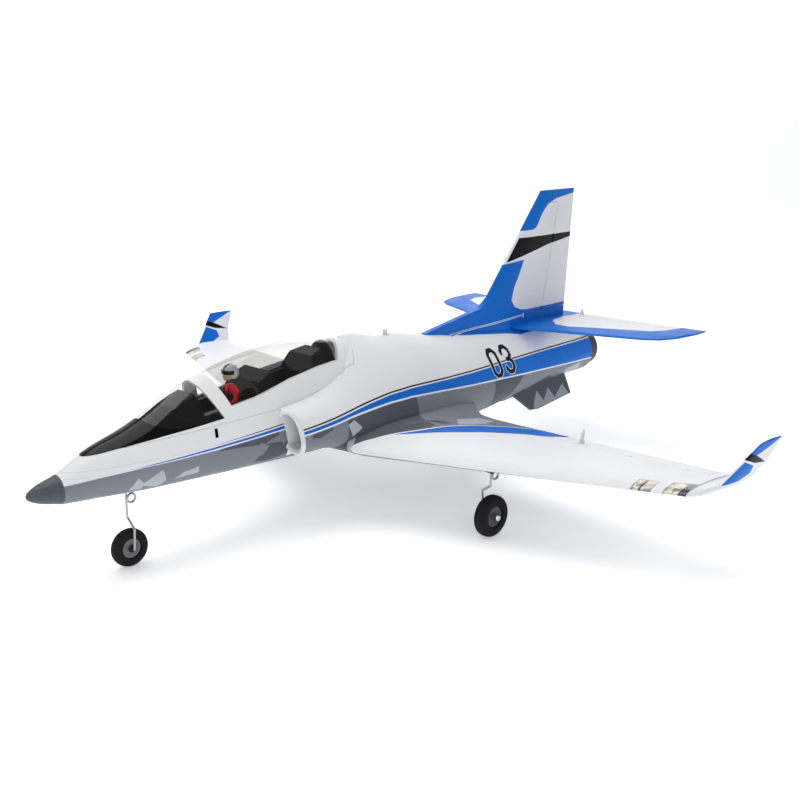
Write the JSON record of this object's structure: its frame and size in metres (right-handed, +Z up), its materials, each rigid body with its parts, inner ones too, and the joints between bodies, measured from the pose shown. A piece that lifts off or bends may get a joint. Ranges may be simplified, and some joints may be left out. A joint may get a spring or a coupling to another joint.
{
  "type": "rc jet plane",
  "caption": "Radio-controlled foam jet with ducted fan, twin side intakes, canopy and pilot, winglets, hinged controls and tricycle gear.",
  "frame": {"origin": "on the ground, centred under the bounding box", "axes": "+X towards the left wing tip, -Y towards the nose, +Z up"},
  "size_m": [1.1018, 1.042, 0.408],
  "materials": {
    "white_foam": "fine-beaded moulded foam, matt painted white",
    "blue_foam": "foam painted bright blue",
    "grey_foam": "foam painted grey",
    "dark_plastic": "black moulded plastic",
    "gloss_black": "glossy black",
    "clear": "clear moulded glazing",
    "wire": "spring steel wire",
    "tyre": "dense foam rubber",
    "hub": "grey plastic",
    "motor": "turned can",
    "red": "red painted plastic",
    "nylon": "white nylon",
    "brass": "pin"
  },
  "bodies": {
    "airframe": {"left_fuselage": "white_foam", "right_fuselage": "white_foam", "fan_hatch": "white_foam", "nose_cone": "hub", "left_intake_duct": "nylon", "right_intake_duct": "nylon", "nozzle_ring": "dark_plastic", "thrust_tube": "dark_plastic", "left_wing": "white_foam", "right_wing": "white_foam", "aileron_servos": "dark_plastic", "light_lenses": "clear", "winglets": "white_foam", "wing_spar": "dark_plastic", "stabilizer": "white_foam", "fin": "white_foam", "ventral_strakes": "grey_foam", "control_hinges": "nylon", "fan_housing": "dark_plastic", "fan_motor": "motor", "battery_tray": "dark_plastic", "battery": "blue_foam", "speed_controller": "dark_plastic", "receiver": "dark_plastic", "main_struts": "wire", "gear_mounts": "dark_plastic"},
    "left_aileron": {"left_aileron": "white_foam"},
    "right_aileron": {"right_aileron": "white_foam"},
    "left_flap": {"left_flap": "white_foam"},
    "right_flap": {"right_flap": "white_foam"},
    "left_elevator": {"left_elevator": "white_foam"},
    "right_elevator": {"right_elevator": "white_foam"},
    "rudder": {"rudder": "white_foam"},
    "left_arm": {"left_aileron_arm": "nylon"},
    "left_rod": {"left_aileron_rod": "wire"},
    "right_arm": {"right_aileron_arm": "nylon"},
    "right_rod": {"right_aileron_rod": "wire"},
    "fan_rotor": {"fan_rotor": "dark_plastic"},
    "nose_gear": {"nose_strut": "wire"},
    "nose_wheel": {"nose_tyre": "tyre", "nose_hub": "hub"},
    "left_wheel": {"left_tyre": "tyre", "left_hub": "hub"},
    "right_wheel": {"right_tyre": "tyre", "right_hub": "hub"},
    "canopy": {"canopy_frame": "white_foam", "glare_panel": "gloss_black", "windscreen": "clear", "canopy_glass": "clear", "cockpit_tub": "gloss_black", "pilot_figure": "red"},
    "latch": {"canopy_latch": "dark_plastic"}
  },
  "joints": [
    {"name": "left_aileron_hinge", "type": "hinge", "parent": "airframe", "child": "left_aileron", "pos_m": [0.278, 0.101, 0.11105], "axis": [0.9996, 0, 0.0283], "range_deg": [-22, 22]},
    {"name": "right_aileron_hinge", "type": "hinge", "parent": "airframe", "child": "right_aileron", "pos_m": [-0.278, 0.101, 0.11105], "axis": [0.9996, 0, -0.0283], "range_deg": [-22, 22]},
    {"name": "left_flap_hinge", "type": "hinge", "parent": "airframe", "child": "left_flap", "pos_m": [0.128, 0.101, 0.10674], "axis": [-0.9996, 0, -0.0287], "range_deg": [0, 35]},
    {"name": "right_flap_hinge", "type": "hinge", "parent": "airframe", "child": "right_flap", "pos_m": [-0.128, 0.101, 0.10674], "axis": [-0.9996, 0, 0.0287], "range_deg": [0, 35]},
    {"name": "left_elevator_hinge", "type": "hinge", "parent": "airframe", "child": "left_elevator", "pos_m": [0.014, 0.46206, 0.1957], "axis": [0.9972, 0.0754, -0.0016], "range_deg": [-20, 20]},
    {"name": "right_elevator_hinge", "type": "hinge", "parent": "airframe", "child": "right_elevator", "pos_m": [-0.014, 0.46206, 0.1957], "axis": [0.9972, -0.0754, 0.0016], "range_deg": [-20, 20]},
    {"name": "rudder_hinge", "type": "hinge", "parent": "airframe", "child": "rudder", "pos_m": [0, 0.3918, 0.214], "axis": [0, 0.206, 0.9785], "range_deg": [-25, 25]},
    {"name": "left_servo_shaft", "type": "hinge", "parent": "airframe", "child": "left_arm", "pos_m": [0.29999, 0.046, 0.10767], "axis": [0.9996, 0, 0.0283], "range_deg": [-22, 22]},
    {"name": "left_rod_pivot", "type": "hinge", "parent": "left_arm", "child": "left_rod", "pos_m": [0.29999, 0.046, 0.09167], "axis": [0.9996, 0, 0.0283], "range_deg": [-22, 22]},
    {"name": "right_servo_shaft", "type": "hinge", "parent": "airframe", "child": "right_arm", "pos_m": [-0.29999, 0.046, 0.10767], "axis": [0.9996, 0, -0.0283], "range_deg": [-22, 22]},
    {"name": "right_rod_pivot", "type": "hinge", "parent": "right_arm", "child": "right_rod", "pos_m": [-0.29999, 0.046, 0.09167], "axis": [0.9996, 0, -0.0283], "range_deg": [-22, 22]},
    {"name": "fan_spin", "type": "hinge", "parent": "airframe", "child": "fan_rotor", "pos_m": [0, 0.114, 0.122], "axis": [0, 1, 0], "continuous": true},
    {"name": "nose_steer", "type": "hinge", "parent": "airframe", "child": "nose_gear", "pos_m": [0, -0.396, 0.11], "axis": [0, 0, 1], "range_deg": [-25, 25]},
    {"name": "nose_wheel_spin", "type": "hinge", "parent": "nose_gear", "child": "nose_wheel", "pos_m": [0, -0.396, 0.024], "axis": [1, 0, 0], "continuous": true},
    {"name": "left_wheel_spin", "type": "hinge", "parent": "airframe", "child": "left_wheel", "pos_m": [0.248, -0.01, 0.028], "axis": [1, 0, 0], "continuous": true},
    {"name": "right_wheel_spin", "type": "hinge", "parent": "airframe", "child": "right_wheel", "pos_m": [-0.248, -0.01, 0.028], "axis": [1, 0, 0], "continuous": true},
    {"name": "canopy_hinge", "type": "hinge", "parent": "airframe", "child": "canopy", "pos_m": [0, -0.458, 0.153], "axis": [1, 0, 0], "range_deg": [0, 55]},
    {"name": "latch_slide", "type": "slide", "parent": "airframe", "child": "latch", "axis": [0, 1, 0], "range_m": [0, 0.005], "stiffness_N_per_m": 150, "springref_m": -0.002}
  ],
  "couplings": [
    {"joint": "right_aileron_hinge", "follows": "left_aileron_hinge", "ratio": -1},
    {"joint": "left_servo_shaft", "follows": "left_aileron_hinge", "ratio": 1},
    {"joint": "left_rod_pivot", "follows": "left_aileron_hinge", "ratio": -1},
    {"joint": "right_servo_shaft", "follows": "left_aileron_hinge", "ratio": -1},
    {"joint": "right_rod_pivot", "follows": "left_aileron_hinge", "ratio": 1},
    {"joint": "right_flap_hinge", "follows": "left_flap_hinge", "ratio": 1},
    {"joint": "right_elevator_hinge", "follows": "left_elevator_hinge", "ratio": 1},
    {"joint": "nose_steer", "follows": "rudder_hinge", "ratio": 1}
  ]
}
